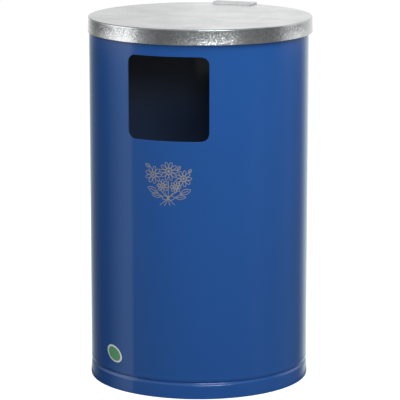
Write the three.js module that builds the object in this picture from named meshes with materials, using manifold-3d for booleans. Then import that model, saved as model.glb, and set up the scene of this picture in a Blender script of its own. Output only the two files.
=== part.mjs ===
// An outdoor waste bin: a round steel casing with a square drop opening, a flat lid hinged at
// the back, a pressed base, and an inner container that is lifted out by its bail.
// Millimetres, +Z up. The origin is on the casing's axis at the floor, and -Y is the front.
import * as THREE from 'three';
import { mergeVertices } from 'three/addons/utils/BufferGeometryUtils.js';
import Module from 'manifold-3d';

const wasm = await Module();
wasm.setup();

// Whole bin
const totalHeight = 600;
const casingRadius = 180;
const gap = 0.3; // left between pieces that lie against each other
const overrun = 6; // how far a cutter passes the faces that it cuts
const weldTolerance = 0.0001;
const roundSides = 72;
const smallSides = 16;
const rivetSides = 12;

// Casing
const casingSheet = 1.2;
const hemHeight = 10;
const beadHeight = 26.8; // of the groove's bottom
const beadRise = 3; // from there up to the wall
const beadFall = 6; // from there down to the skirt
const beadDepth = 1.6;
const beadSteps = 3; // on each side of its bottom
const skirtFlare = 1.1;

// Drop opening
const openingWidth = 134.5;
const openingHeight = 135;
const openingDrop = 44; // from the lid's top to the opening's head
const openingCorner = 13;
const cornerSteps = 6;

// Lid
const lidSheet = 1;
const lidRimHeight = 25;
const lidSideGap = 3.3;
const lidCorner = 2.2;
const lidCornerSteps = 3;
const lidShift = 2.3; // the lid and its hinge sit this far off the casing's middle

// Hinge
const hingeTurn = THREE.MathUtils.degToRad(3); // round from the point opposite the opening
const hingeWidth = 71;
const leafSheet = 2.8;
const leafBend = 1;
const strapReach = 29;
const strapCorner = 7;
const bodyLeafHeight = 48;
const leafSetback = 1.6; // from the pin's axis in to the middle of the casing leaf
const knuckleRadius = 4;
const knuckleGap = 0.5;
const leafClearance = 0.8; // from a leaf's straight edge to the other leaf's knuckles
const rimClearance = 1.3; // from the lid's lower edge to the knuckles
const pinRadius = 2;
const pinHeadRadius = 3.6;
const pinHeadHeight = 1.8;

// Rivets of the lid leaf
const lidRivetHeadRadius = 7;
const lidRivetHeadHeight = 2.2;
const lidRivetShank = 3;
const lidRivetFootRadius = 4.5;
const lidRivetInset = 7.6; // from the strap's end
const lidRivetReach = 19; // from the lid's edge
const rivetFootHeight = 1.4;
const domeSteps = 3;

// Rivets of the casing leaf
const bodyRivetHeadRadius = 4.5;
const bodyRivetHeadHeight = 2.2;
const bodyRivetShank = 1.6;
const bodyRivetInset = 13.5; // from the leaf's side
const bodyRivetTop = 12; // from the leaf's upper edge
const bodyRivetFoot = 10; // from the leaf's lower edge

// Base
const baseSheet = 1.5;
const baseFootWidth = 14;
const anchorInset = 53.5; // from the base's edge
const anchorHoleRadius = 4.5;
const anchorPadRadius = 12.5;
const anchorPadRise = 0.8;
const anchorCount = 4;
const drainRadius = 60;
const drainHoleRadius = 5;
const drainCount = 4;

// Inner container
const linerSpace = 18; // round it, to the casing's outside
const linerDrop = 66; // from the drop opening's foot to its rim
const linerSheet = 0.8;
const linerFloorRise = 12; // room for the anchors' heads
const linerSides = 60;
const rimWireRadius = 2;
const curlTurn = THREE.MathUtils.degToRad(280);
const curlSteps = 6;
const wireSides = 6;

// Ears and bail of the inner container
const earWidth = 32;
const earHeight = 29;
const earSheet = 1.6;
const earCorner = 6;
const earSpace = 2.3; // from the rim's curl to the ear's upper edge
const pivotInset = 11; // from the ear's upper edge
const earRivetInset = 7; // from the ear's side
const earRivetFoot = 6.5; // from the ear's lower edge
const earRivetHeadRadius = 3.4;
const earRivetHeadHeight = 1.5;
const earRivetShank = 1.5;
const earRivetFootHeight = 1;
const bailWireRadius = 2.5;
const bailClearance = 0.4; // round the bail's ends, in their holes
const bailReach = 9; // of its bow, past the container's wall
const bailHeadRadius = 4;
const bailHeadHeight = 1.6;
const bailSteps = 36;
const bailSides = 8;

// Sticker low on the casing
const stickerWidth = 39;
const stickerHeight = 26;
const stickerRise = 16.2; // from the bead to the sticker
const stickerTurn = THREE.MathUtils.degToRad(-33.5);
const stickerTilt = THREE.MathUtils.degToRad(-20);
const stickerThickness = 0.25;
const stickerSteps = 28;

// Sizes that follow from those above
const lidRadius = casingRadius + lidSideGap + lidSheet;
const lidFoot = totalHeight - lidRimHeight;
const casingTop = totalHeight - lidSheet - gap;
const openingFoot = totalHeight - openingDrop - openingHeight;
const beadFoot = beadHeight - beadFall;
const beadTop = beadHeight + beadRise;
const lidLeafInside = lidRadius + gap;
const hingeAxisY = lidLeafInside + leafSheet / 2;
const bodyLeafFace = hingeAxisY - leafSetback + leafSheet / 2;
const packingFace = bodyLeafFace - leafSheet - gap;
const hingeAxisZ = lidFoot - rimClearance - knuckleRadius;
const knuckleLength = (hingeWidth - 2 * knuckleGap) / 3;
const leafEdge = knuckleRadius + leafClearance;
const bodyLeafTop = hingeAxisZ - leafEdge;
const strapUnderside = totalHeight + gap;
const baseTop = beadFoot - gap;
const baseRadius = casingRadius - casingSheet - gap;
const anchorRadius = baseRadius - anchorInset;
const linerRadius = casingRadius - linerSpace;
const linerFoot = baseTop + gap;
const linerTop = openingFoot - linerDrop;
const linerBore = linerRadius - linerSheet;
const curlInside = rimWireRadius + gap;
const curlOutside = curlInside + linerSheet;
const curlRing = linerBore + curlOutside;
const curlHeight = linerTop - curlOutside;
const earTop = linerTop - 2 * curlOutside - earSpace;
const pivotHeight = earTop - pivotInset;
const earRadius = linerRadius + gap + earSheet;
const bailRadius = linerRadius + bailReach;
const bailDroop = Math.acos((linerRadius + gap + bailWireRadius) / bailRadius);
const stickerCentreHeight = beadTop + stickerRise + stickerHeight / 2;

// Materials
const bluePaint = new THREE.MeshStandardMaterial({ color: 0x26549a, roughness: 0.35, metalness: 0 });
const zinc = new THREE.MeshStandardMaterial({ color: 0xc9cbcc, roughness: 0.45, metalness: 1 });
const steel = new THREE.MeshStandardMaterial({ color: 0xb4b6b8, roughness: 0.4, metalness: 1 });
const film = new THREE.MeshStandardMaterial({ color: 0x3f9a56, roughness: 0.5, metalness: 0 });

// Solids from geometries, and back

function solidOf(geometry) {
  const bare = geometry.index ? geometry.toNonIndexed() : geometry.clone();
  bare.deleteAttribute('normal');
  bare.deleteAttribute('uv');
  const merged = mergeVertices(bare, weldTolerance);
  const corners = merged.index.array;
  const kept = [];
  for (let i = 0; i < corners.length; i += 3) {
    const [a, b, c] = corners.slice(i, i + 3);
    if (a !== b && b !== c && c !== a) kept.push(a, b, c);
  }
  const vertProperties = merged.attributes.position.array;
  const triVerts = new Uint32Array(kept);
  return new wasm.Manifold(new wasm.Mesh({ numProp: 3, vertProperties, triVerts }));
}

function geometryOf(solid) {
  const { vertProperties, triVerts } = solid.getMesh();
  const geometry = new THREE.BufferGeometry();
  geometry.setAttribute('position', new THREE.BufferAttribute(vertProperties, 3));
  geometry.setIndex(new THREE.BufferAttribute(triVerts, 1));
  geometry.computeVertexNormals();
  return geometry;
}

function joined(solids) {
  return solids.reduce((whole, one) => whole.add(one));
}

function cut(solid, cutters) {
  return cutters.reduce((left, cutter) => left.subtract(cutter), solid);
}

// A profile of [radius, height] corners turned about the Z axis.
function turned(profile, sides) {
  let area = 0;
  profile.forEach(([r, z], i) => {
    const [nextR, nextZ] = profile[(i + 1) % profile.length];
    area += r * nextZ - nextR * z;
  });
  const outline = area > 0 ? profile : [...profile].reverse();
  const points = [...outline, outline[0]].map(([r, z]) => new THREE.Vector2(r, z));
  return solidOf(new THREE.LatheGeometry(points, sides).rotateX(Math.PI / 2));
}

function ring(inside, outside, foot, top, sides) {
  return turned([[inside, foot], [outside, foot], [outside, top], [inside, top]], sides);
}

// A rod along Z, from one height to another.
function rod(radius, from, to, sides = smallSides) {
  return turned([[0, from], [radius, from], [radius, to], [0, to]], sides);
}

function roundedOutline(width, height, corner) {
  const [x, y] = [width / 2, height / 2];
  const outline = new THREE.Shape();
  outline.absarc(x - corner, y - corner, corner, 0, Math.PI / 2);
  outline.absarc(corner - x, y - corner, corner, Math.PI / 2, Math.PI);
  outline.absarc(corner - x, corner - y, corner, Math.PI, Math.PI * 1.5);
  outline.absarc(x - corner, corner - y, corner, Math.PI * 1.5, Math.PI * 2);
  return outline;
}

// An outline in X and Z, pushed along Y from one place to another.
function pushedAlongY(outline, from, to, curveSegments = cornerSteps) {
  const shape = { depth: to - from, bevelEnabled: false, curveSegments };
  return solidOf(new THREE.ExtrudeGeometry(outline, shape).rotateX(Math.PI / 2)).translate([0, to, 0]);
}

function box(size, centre) {
  return solidOf(new THREE.BoxGeometry(...size)).translate(centre);
}

const degrees = THREE.MathUtils.radToDeg;
const aboutZ = (solid, angle) => solid.rotate([0, 0, degrees(angle)]);
const alongX = (solid) => solid.rotate([0, 90, 0]);
const alongY = (solid) => solid.rotate([-90, 0, 0]);

// A rivet along Z: shank from its foot to its seat, a dome above the seat and a flat foot below.
function rivet({ seat, foot, shank, headRadius, headHeight, footRadius, footHeight }) {
  const dome = [];
  for (let i = 1; i < domeSteps; i += 1) {
    const angle = (i / domeSteps) * (Math.PI / 2);
    dome.push([headRadius * Math.cos(angle), seat + headHeight * Math.sin(angle)]);
  }
  return turned([
    [0, foot - footHeight], [footRadius, foot - footHeight], [footRadius, foot], [shank, foot],
    [shank, seat], [headRadius, seat], ...dome, [0, seat + headHeight],
  ], rivetSides);
}

// How far a many-sided round wall reaches inwards at the middle of a side, at one place across it.
function nearestWall(radius, across, sides) {
  return Math.sqrt((radius * Math.cos(Math.PI / sides)) ** 2 - across ** 2);
}

// Casing

function wallOffset(z) {
  if (z < beadFoot) return skirtFlare * (1 - z / beadFoot);
  if (z > beadTop) return 0;
  const share = (z - beadHeight) / (z > beadHeight ? beadRise : beadFall);
  return (-beadDepth * (1 + Math.cos(Math.PI * share))) / 2;
}

function casingProfile() {
  const heights = [0];
  for (let i = 0; i < beadSteps; i += 1) heights.push(beadFoot + (beadFall * i) / beadSteps);
  for (let i = 0; i <= beadSteps; i += 1) heights.push(beadHeight + (beadRise * i) / beadSteps);
  const outside = heights.map((z) => [casingRadius + wallOffset(z), z]);
  const inside = heights.map((z) => [casingRadius + wallOffset(z) - casingSheet, z]).reverse();
  const bore = casingRadius - casingSheet;
  const hemBore = bore - casingSheet;
  const hem = [[hemBore, casingTop], [hemBore, casingTop - hemHeight], [bore, casingTop - hemHeight]];
  return [...outside, [casingRadius, casingTop], ...hem, ...inside];
}

function dropOpening() {
  const outline = roundedOutline(openingWidth, openingHeight, openingCorner);
  return pushedAlongY(outline, -casingRadius - overrun, -casingRadius / 2)
    .translate([0, 0, openingFoot + openingHeight / 2]);
}

function bodyRivetPlaces() {
  const x = hingeWidth / 2 - bodyRivetInset;
  const heights = [bodyLeafTop - bodyRivetTop, bodyLeafTop - bodyLeafHeight + bodyRivetFoot];
  return [-x, x].flatMap((side) => heights.map((z) => [side, z]));
}

// Holes for the casing leaf's rivets, in the hinge's own frame, before the leaf is shifted sideways.
function bodyRivetHoles() {
  const [from, to] = [casingRadius / 2, bodyLeafFace + overrun];
  const hole = alongY(rod(bodyRivetShank + gap, from, to, rivetSides));
  return bodyRivetPlaces().map(([x, z]) => hole.translate([x, 0, z]));
}

function bodyShell() {
  const holes = bodyRivetHoles().map((hole) => aboutZ(hole.translate([lidShift, 0, 0]), -hingeTurn));
  return cut(turned(casingProfile(), roundSides), [dropOpening(), ...holes]);
}

// Base: a pressed pan, open below, with an inward foot ring and a raised pad round each anchor hole

function basePan() {
  const pan = turned([
    [0, baseTop], [baseRadius, baseTop], [baseRadius, 0], [baseRadius - baseFootWidth, 0],
    [baseRadius - baseFootWidth, baseSheet], [baseRadius - baseSheet, baseSheet],
    [baseRadius - baseSheet, baseTop - baseSheet], [0, baseTop - baseSheet],
  ], roundSides);
  const [from, to] = [baseTop - baseSheet - overrun, baseTop + overrun];
  const anchors = placesOnCircle(anchorCount, anchorRadius, Math.PI / anchorCount);
  const drains = placesOnCircle(drainCount, drainRadius, 0);
  const pad = rod(anchorPadRadius, baseTop - baseSheet, baseTop + anchorPadRise);
  const padHollow = rod(anchorPadRadius - baseSheet, from, baseTop - baseSheet + anchorPadRise);
  return cut(joined([pan, ...anchors.map((place) => pad.translate(place))]), [
    ...anchors.map((place) => padHollow.translate(place)),
    ...anchors.map((place) => rod(anchorHoleRadius, from, to).translate(place)),
    ...drains.map((place) => rod(drainHoleRadius, from, to).translate(place)),
  ]);
}

function placesOnCircle(count, radius, start) {
  return Array.from({ length: count }, (_, i) => {
    const angle = start + (2 * Math.PI * i) / count;
    return [radius * Math.cos(angle), radius * Math.sin(angle), 0];
  });
}

// Lid, in the hinge's own frame

function lidRivetPlaces() {
  const x = hingeWidth / 2 - lidRivetInset;
  return [-x, x].map((side) => [side, lidRadius - lidRivetReach]);
}

function lidRivetHoles() {
  const [from, to] = [totalHeight - lidSheet - overrun, strapUnderside + leafSheet + overrun];
  const hole = rod(lidRivetShank + gap, from, to, rivetSides);
  return lidRivetPlaces().map(([x, y]) => hole.translate([x, y, 0]));
}

function lidCover() {
  const corner = (radius) => {
    const points = [];
    const [r, z] = [lidRadius - lidCorner, totalHeight - lidCorner];
    for (let i = 0; i <= lidCornerSteps; i += 1) {
      const angle = (i / lidCornerSteps) * (Math.PI / 2);
      points.push([r + radius * Math.cos(angle), z + radius * Math.sin(angle)]);
    }
    return points;
  };
  const profile = [
    [lidRadius - lidSheet, lidFoot], [lidRadius, lidFoot], ...corner(lidCorner), [0, totalHeight],
    [0, totalHeight - lidSheet], ...corner(lidCorner - lidSheet).reverse(),
  ];
  return cut(turned(profile, roundSides), lidRivetHoles());
}

// Hinge, in its own frame: X along the pin, Y outwards

function knuckle(centre) {
  return alongX(rod(knuckleRadius, -knuckleLength / 2, knuckleLength / 2)).translate(centre);
}

function pinBore() {
  const half = hingeWidth / 2 + overrun;
  return alongX(rod(pinRadius + gap, -half, half)).translate([0, hingeAxisY, hingeAxisZ]);
}

// The strap's side view in Y and Z: over the lid, round its edge and down outside the rim.
function strapOutline() {
  const outside = leafBend + leafSheet;
  const [bendY, bendZ] = [lidLeafInside - leafBend, strapUnderside - leafBend];
  const outline = new THREE.Shape();
  outline.moveTo(lidRadius - strapReach, strapUnderside);
  outline.lineTo(lidRadius - strapReach, strapUnderside + leafSheet);
  outline.absarc(bendY, bendZ, outside, Math.PI / 2, 0, true);
  outline.lineTo(lidLeafInside + leafSheet, hingeAxisZ + leafEdge);
  outline.lineTo(lidLeafInside, hingeAxisZ + leafEdge);
  outline.absarc(bendY, bendZ, leafBend, 0, Math.PI / 2, false);
  return outline;
}

function pushedAlongX(outline, width) {
  const shape = { depth: width, bevelEnabled: false, curveSegments: cornerSteps };
  return solidOf(new THREE.ExtrudeGeometry(outline, shape))
    .rotate([90, 0, 0])
    .rotate([0, 0, 90])
    .translate([-width / 2, 0, 0]);
}

// The strap's plan: its far end is beyond the bend, so only the corners on the lid are rounded.
function strapPlan() {
  const outline = roundedOutline(hingeWidth, 2 * strapReach, strapCorner);
  const shape = { depth: totalHeight, bevelEnabled: false, curveSegments: cornerSteps };
  return solidOf(new THREE.ExtrudeGeometry(outline, shape)).translate([0, lidRadius, totalHeight / 2]);
}

function hingeLidLeaf() {
  const strap = pushedAlongX(strapOutline(), hingeWidth).intersect(strapPlan());
  const webHeight = leafEdge + leafClearance;
  const web = box([knuckleLength, leafSheet, webHeight], [0, hingeAxisY, hingeAxisZ + webHeight / 2]);
  const leaf = joined([strap, web, knuckle([0, hingeAxisY, hingeAxisZ])]);
  return cut(leaf, [pinBore(), ...lidRivetHoles()]);
}

function hingeBodyLeaf() {
  const y = bodyLeafFace - leafSheet / 2;
  const plate = box([hingeWidth, leafSheet, bodyLeafHeight], [0, y, bodyLeafTop - bodyLeafHeight / 2]);
  const pieces = [plate];
  for (const side of [-1, 1]) {
    const x = side * (knuckleLength + knuckleGap);
    const webHeight = leafEdge + leafClearance;
    pieces.push(box([knuckleLength, leafSheet, webHeight], [x, y, hingeAxisZ - webHeight / 2]));
    pieces.push(knuckle([x, hingeAxisY, hingeAxisZ]));
  }
  return cut(joined(pieces), [pinBore(), ...bodyRivetHoles()]);
}

// Fills the room between the round casing and the flat leaf.
function hingePackingBlock() {
  const depth = packingFace / 2;
  const size = [hingeWidth, depth, bodyLeafHeight];
  const slab = box(size, [0, packingFace - depth / 2, bodyLeafTop - bodyLeafHeight / 2]);
  const casing = rod(casingRadius + gap, 0, totalHeight, roundSides).translate([-lidShift, 0, 0]);
  return cut(slab, [aboutZ(casing, hingeTurn), ...bodyRivetHoles()]);
}

function hingePin() {
  const half = hingeWidth / 2 + gap;
  const profile = [
    [0, -half - pinHeadHeight], [pinHeadRadius, -half - pinHeadHeight], [pinHeadRadius, -half],
    [pinRadius, -half], [pinRadius, half],
    [pinHeadRadius, half], [pinHeadRadius, half + pinHeadHeight], [0, half + pinHeadHeight],
  ];
  return alongX(turned(profile, smallSides)).translate([0, hingeAxisY, hingeAxisZ]);
}

function lidLeafRivet([x, y]) {
  return rivet({
    seat: strapUnderside + leafSheet + gap, foot: totalHeight - lidSheet - gap, shank: lidRivetShank,
    headRadius: lidRivetHeadRadius, headHeight: lidRivetHeadHeight,
    footRadius: lidRivetFootRadius, footHeight: rivetFootHeight,
  }).translate([x, y, 0]);
}

function bodyLeafRivet([x, z]) {
  const furthest = Math.abs(x) + lidShift + bodyRivetHeadRadius;
  const foot = nearestWall(casingRadius - casingSheet, furthest, roundSides) - gap;
  return alongY(rivet({
    seat: bodyLeafFace + gap, foot, shank: bodyRivetShank,
    headRadius: bodyRivetHeadRadius, headHeight: bodyRivetHeadHeight,
    footRadius: bodyRivetHeadRadius, footHeight: rivetFootHeight,
  })).translate([x, 0, z]);
}

// Inner container

function curlArc(radius) {
  const points = [];
  for (let i = 0; i <= curlSteps; i += 1) {
    const angle = Math.PI - (i / curlSteps) * curlTurn;
    points.push([curlRing + radius * Math.cos(angle), curlHeight + radius * Math.sin(angle)]);
  }
  return points;
}

function linerBody() {
  const profile = [
    [linerBore, linerFoot], [linerRadius, linerFoot],
    ...curlArc(curlInside), ...curlArc(curlOutside).reverse(),
  ];
  const reach = linerRadius + overrun;
  const pivotHole = alongX(rod(bailWireRadius + bailClearance, -reach, reach));
  const holes = [pivotHole.translate([0, 0, pivotHeight]), ...earRivetHoles(-1), ...earRivetHoles(1)];
  return cut(turned(profile, linerSides), holes);
}

// A flat disc, set into the wall above its foot.
function linerBottom() {
  const top = linerFoot + linerFloorRise;
  return rod(linerBore - gap, top - linerSheet, top, linerSides);
}

function linerRimWire() {
  const wire = new THREE.TorusGeometry(curlRing, rimWireRadius, wireSides, linerSides);
  return solidOf(wire).translate([0, 0, curlHeight]);
}

function earRivetPlaces() {
  const y = earWidth / 2 - earRivetInset;
  return [-y, y].map((side) => [side, earTop - earHeight + earRivetFoot]);
}

function earRivetHoles(side) {
  const [from, to] = [linerRadius / 2, linerRadius + overrun];
  const hole = onSide(alongX(rod(earRivetShank + gap, from, to, rivetSides)), side);
  return earRivetPlaces().map(([y, z]) => hole.translate([0, y, z]));
}

// Turns a piece made at +X half round the axis when it belongs at -X.
function onSide(solid, side) {
  return side > 0 ? solid : aboutZ(solid, Math.PI);
}

function linerEar(side) {
  const plate = ring(linerRadius + gap, earRadius, earTop - earHeight, earTop, linerSides);
  const outline = roundedOutline(earWidth, earHeight, earCorner);
  const stamp = aboutZ(pushedAlongY(outline, linerRadius / 2, earRadius + overrun), -Math.PI / 2)
    .translate([0, 0, earTop - earHeight / 2]);
  const pivotHole = alongX(rod(bailWireRadius + bailClearance, 0, earRadius + overrun))
    .translate([0, 0, pivotHeight]);
  return cut(onSide(cut(plate.intersect(stamp), [pivotHole]), side), earRivetHoles(side));
}

function earRivet(side, [y, z]) {
  const nearest = Math.abs(y) - earRivetHeadRadius;
  const furthest = Math.abs(y) + earRivetHeadRadius;
  const made = alongX(rivet({
    seat: Math.sqrt(earRadius ** 2 - nearest ** 2) + gap,
    foot: nearestWall(linerBore, furthest, linerSides) - gap,
    shank: earRivetShank, headRadius: earRivetHeadRadius, headHeight: earRivetHeadHeight,
    footRadius: earRivetHeadRadius, footHeight: earRivetFootHeight,
  }));
  return onSide(made, side).translate([0, y, z]);
}

// The bail's bow: half a circle from one pivot, round the front, to the other.
class Bow extends THREE.Curve {
  getPoint(t, target = new THREE.Vector3()) {
    const angle = Math.PI * t;
    return target.set(bailRadius * Math.cos(angle), -bailRadius * Math.sin(angle), 0);
  }
}

function bailEnd(side) {
  const foot = nearestWall(linerBore, bailHeadRadius, linerSides) - gap;
  const stub = rod(bailWireRadius, foot - bailHeadHeight, bailRadius, bailSides);
  const head = rod(bailHeadRadius, foot - bailHeadHeight, foot, rivetSides);
  const elbow = solidOf(new THREE.SphereGeometry(bailWireRadius, bailSides, bailSides))
    .translate([0, 0, bailRadius]);
  return onSide(alongX(joined([stub, head, elbow])), side);
}

function linerBail() {
  const section = new THREE.Shape().absarc(0, 0, bailWireRadius, 0, 2 * Math.PI);
  const bow = solidOf(new THREE.ExtrudeGeometry(section, {
    steps: bailSteps, curveSegments: bailSides, bevelEnabled: false, extrudePath: new Bow(),
  }));
  return joined([bow, bailEnd(-1), bailEnd(1)]).rotate([degrees(bailDroop), 0, 0]);
}

// Sticker: an oval of film bent to the casing

function ovalSticker() {
  const [width, height] = [stickerWidth / 2, stickerHeight / 2];
  const outline = new THREE.Shape().absellipse(0, 0, width, height, 0, 2 * Math.PI, false, stickerTilt);
  const stamp = pushedAlongY(outline, -casingRadius - overrun, -casingRadius / 2, stickerSteps)
    .translate([0, 0, stickerCentreHeight]);
  const [foot, top] = [stickerCentreHeight - stickerHeight, stickerCentreHeight + stickerHeight];
  const inside = casingRadius + gap;
  const sheet = ring(inside, inside + stickerThickness, foot, top, roundSides);
  return sheet.intersect(aboutZ(stamp, stickerTurn));
}

// Assembly

const bin = new THREE.Group();

function addPart(parent, name, solid, material) {
  const mesh = new THREE.Mesh(geometryOf(solid), material);
  mesh.name = name;
  parent.add(mesh);
  return mesh;
}

addPart(bin, 'body_shell', bodyShell(), bluePaint);
addPart(bin, 'base_pan', basePan(), bluePaint);
addPart(bin, 'oval_sticker', ovalSticker(), film);

const hinge = new THREE.Group();
hinge.rotation.z = -hingeTurn;
const hingeParts = new THREE.Group();
hingeParts.position.x = lidShift;
hinge.add(hingeParts);
bin.add(hinge);

addPart(hingeParts, 'lid_cover', lidCover(), zinc);
addPart(hingeParts, 'hinge_lid_leaf', hingeLidLeaf(), zinc);
addPart(hingeParts, 'hinge_body_leaf', hingeBodyLeaf(), zinc);
addPart(hingeParts, 'hinge_packing_block', hingePackingBlock(), bluePaint);
addPart(hingeParts, 'hinge_pin', hingePin(), steel);
lidRivetPlaces().forEach((place, i) => {
  addPart(hingeParts, `lid_leaf_rivet_${i + 1}`, lidLeafRivet(place), steel);
});
bodyRivetPlaces().forEach((place, i) => {
  addPart(hingeParts, `body_leaf_rivet_${i + 1}`, bodyLeafRivet(place), steel);
});

addPart(bin, 'liner_body', linerBody(), zinc);
addPart(bin, 'liner_bottom', linerBottom(), zinc);
addPart(bin, 'liner_rim_wire', linerRimWire(), steel);
for (const [side, word] of [[-1, 'left'], [1, 'right']]) {
  addPart(bin, `liner_ear_${word}`, linerEar(side), zinc);
  earRivetPlaces().forEach((place, i) => {
    addPart(bin, `liner_ear_rivet_${word}_${i + 1}`, earRivet(side, place), steel);
  });
}
const bail = addPart(bin, 'liner_bail', linerBail(), steel);
bail.position.z = pivotHeight;

export default bin;
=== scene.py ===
# An outdoor waste bin: a round casing of blue powder-coated steel with a square drop opening, a flat
# galvanised lid hinged at the back, and a galvanised inner container with a bail.
# Metres throughout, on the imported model's own frame: +Z up, -Y the front.
import math
from functools import partial

import bmesh
import bpy
from mathutils import Matrix, Vector


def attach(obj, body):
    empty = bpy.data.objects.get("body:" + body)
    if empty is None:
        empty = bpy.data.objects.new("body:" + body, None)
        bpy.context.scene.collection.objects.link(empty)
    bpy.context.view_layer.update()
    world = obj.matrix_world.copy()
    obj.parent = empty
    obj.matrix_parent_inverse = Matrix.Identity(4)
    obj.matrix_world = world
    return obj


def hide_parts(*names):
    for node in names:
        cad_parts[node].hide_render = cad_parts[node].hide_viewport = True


mm = 0.001
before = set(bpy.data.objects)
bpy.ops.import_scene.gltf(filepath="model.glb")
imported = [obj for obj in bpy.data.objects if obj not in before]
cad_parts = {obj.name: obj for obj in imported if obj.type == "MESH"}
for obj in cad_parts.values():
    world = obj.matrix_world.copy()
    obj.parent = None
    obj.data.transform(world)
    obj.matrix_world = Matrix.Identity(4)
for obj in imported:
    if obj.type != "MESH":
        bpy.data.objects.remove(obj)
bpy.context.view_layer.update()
print("frame:", len(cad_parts), "nodes")

scene = bpy.context.scene
scene.view_settings.view_transform = "Standard"


# Small helpers

def millimetres(**sizes):
    return {name: size * mm for name, size in sizes.items()}


def linearColour(hexValue):  # sRGB hex to the linear colour that nodes take
    channels = [int(hexValue[i:i + 2], 16) / 255 for i in (1, 3, 5)]
    return tuple(c / 12.92 if c <= 0.04045 else ((c + 0.055) / 1.055) ** 2.4 for c in channels) + (1,)


def addNode(tree, kind, inputs=(), **settings):
    # A kind is a shader node's unless it says otherwise. A list holds the first inputs, a node stands
    # for its first output in use, a hex value for its linear colour.
    node = tree.nodes.new(kind if "Node" in kind else "ShaderNode" + kind)
    for name, value in settings.items():
        setattr(node, name, value)
    for key, given in inputs.items() if isinstance(inputs, dict) else enumerate(inputs):
        for value in given if isinstance(given, list) else [given]:
            if isinstance(value, bpy.types.Node):
                value = next(socket for socket in value.outputs if socket.enabled)
            if isinstance(value, bpy.types.NodeSocket):
                tree.links.new(value, node.inputs[key])
            else:
                isHex = isinstance(value, str) and value.startswith("#")
                node.inputs[key].default_value = linearColour(value) if isHex else value
    return node


def newMaterial(name):
    material = bpy.data.materials.new(name)
    material.use_nodes = True
    material.node_tree.nodes.clear()
    return material, partial(addNode, material.node_tree)


def newObject(name, data):
    piece = bpy.data.objects.new(name, data)
    scene.collection.objects.link(piece)
    return piece


def newMesh(name, points, edges=(), faces=(), material=None):
    mesh = bpy.data.meshes.new(name)
    mesh.from_pydata([tuple(p) for p in points], edges, faces)
    if material:
        mesh.materials.append(material)
    return mesh


def meshPiece(name, points, faces, material, sharpAngle=35):
    mesh = newMesh(name, points, [], faces, material)
    closeMesh(mesh)
    smoothMesh(mesh, sharpAngle)
    return newObject(name, mesh)


def closeMesh(mesh):  # doubles merged, faces outwards
    shape = bmesh.new()
    shape.from_mesh(mesh)
    bmesh.ops.remove_doubles(shape, verts=shape.verts, dist=0.002 * mm)
    bmesh.ops.recalc_face_normals(shape, faces=shape.faces)
    shape.to_mesh(mesh)
    shape.free()


def smoothMesh(mesh, sharpAngle):
    mesh.shade_smooth()
    mesh.set_sharp_from_angle(angle=math.radians(sharpAngle))


def toPlainMesh(piece):  # what the modifiers make becomes the piece's own mesh
    graph = bpy.context.evaluated_depsgraph_get()
    mesh = bpy.data.meshes.new_from_object(piece.evaluated_get(graph), depsgraph=graph)
    mesh.name = piece.name
    piece.modifiers.clear()
    piece.data = mesh


def newTree(name, *sizes):  # a geometry tree, what adds nodes to it, and its inputs by name
    tree = bpy.data.node_groups.new(name, "GeometryNodeTree")
    kinds = {"geometry": "Geometry", "sides": "Int", "material": "Material"}
    for label in ("geometry", *sizes, "material"):
        tree.interface.new_socket(label, in_out="INPUT", socket_type="NodeSocket" + kinds.get(label, "Float"))
    tree.interface.new_socket("result", in_out="OUTPUT", socket_type="NodeSocketGeometry")
    add = partial(addNode, tree)
    return tree, add, {socket.name: socket for socket in add("NodeGroupInput").outputs}


def endTree(add, enter, geometry):
    whole = add("GeometryNodeRealizeInstances", {"Geometry": geometry})
    painted = add("GeometryNodeSetMaterial", {"Geometry": whole, "Material": enter["material"]})
    add("NodeGroupOutput", [painted])


def runTree(name, mesh, tree, values, sharpAngle=35):
    piece = newObject(name, mesh)
    modifier = piece.modifiers.new(tree.name, "NODES")
    modifier.node_group = tree
    for item in tree.interface.items_tree:
        if item.name in values:
            modifier[item.identifier] = values[item.name]
    toPlainMesh(piece)
    closeMesh(piece.data)
    smoothMesh(piece.data, sharpAngle)
    return piece


def layRound(add, geometry, angle, radius, height):  # each point at its own angle about Z
    sine, cosine = [add("Math", [angle], operation=kind) for kind in ("SINE", "COSINE")]
    x, y = [add("Math", [radius, part], operation="MULTIPLY") for part in (sine, cosine)]
    front = add("Math", [y, -1], operation="MULTIPLY")
    spot = add("CombineXYZ", [x, front, height])
    return add("GeometryNodeSetPosition", {"Geometry": geometry, "Position": spot})


def place(piece, body, slot, *nodes):
    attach(piece, body)
    if nodes:
        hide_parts(*nodes)


def between(start, end, steps):  # evenly spaced values, both ends included
    return [start + (end - start) * i / steps for i in range(steps + 1)]


def blend(start, end, share):  # the point or row of values at that share of the way
    return tuple(a + (b - a) * share for a, b in zip(start, end))


def onCircle(radius, angle):  # angle in radians
    return radius * math.cos(angle), radius * math.sin(angle)


def arc(centre, radius, start, end, steps):  # points on an arc, angles in degrees
    turned = [onCircle(radius, math.radians(a)) for a in between(start, end, steps)]
    return [(centre[0] + x, centre[1] + y) for x, y in turned]


def ringFaces(rings, closed=False):  # faces between rings of point numbers; a ring may be one point
    faces = []
    for low, high in zip(rings, rings[1:] + (rings[:1] if closed else [])):
        for i in range(max(len(low), len(high))):
            corners = [ring[k % len(ring)] for ring, k in ((low, i), (low, i + 1), (high, i + 1), (high, i))]
            corners = list(dict.fromkeys(corners))  # a corner that comes twice counts once
            if len(corners) > 2:
                faces.append(corners)
    return faces


def addRing(points, ring):  # adds the ring's points and gives their numbers
    points += ring
    return list(range(len(points) - len(ring), len(points)))


def turnedMesh(profile, sides):  # corners of (radius, height) turned about Z, from axis to axis or closed
    points = []
    rings = [addRing(points, [(*onCircle(r, 2 * math.pi * i / sides), z) for i in range(sides if r else 1)])
             for r, z in profile]
    return points, ringFaces(rings, len(rings[0]) > 1 and len(rings[-1]) > 1)


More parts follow.
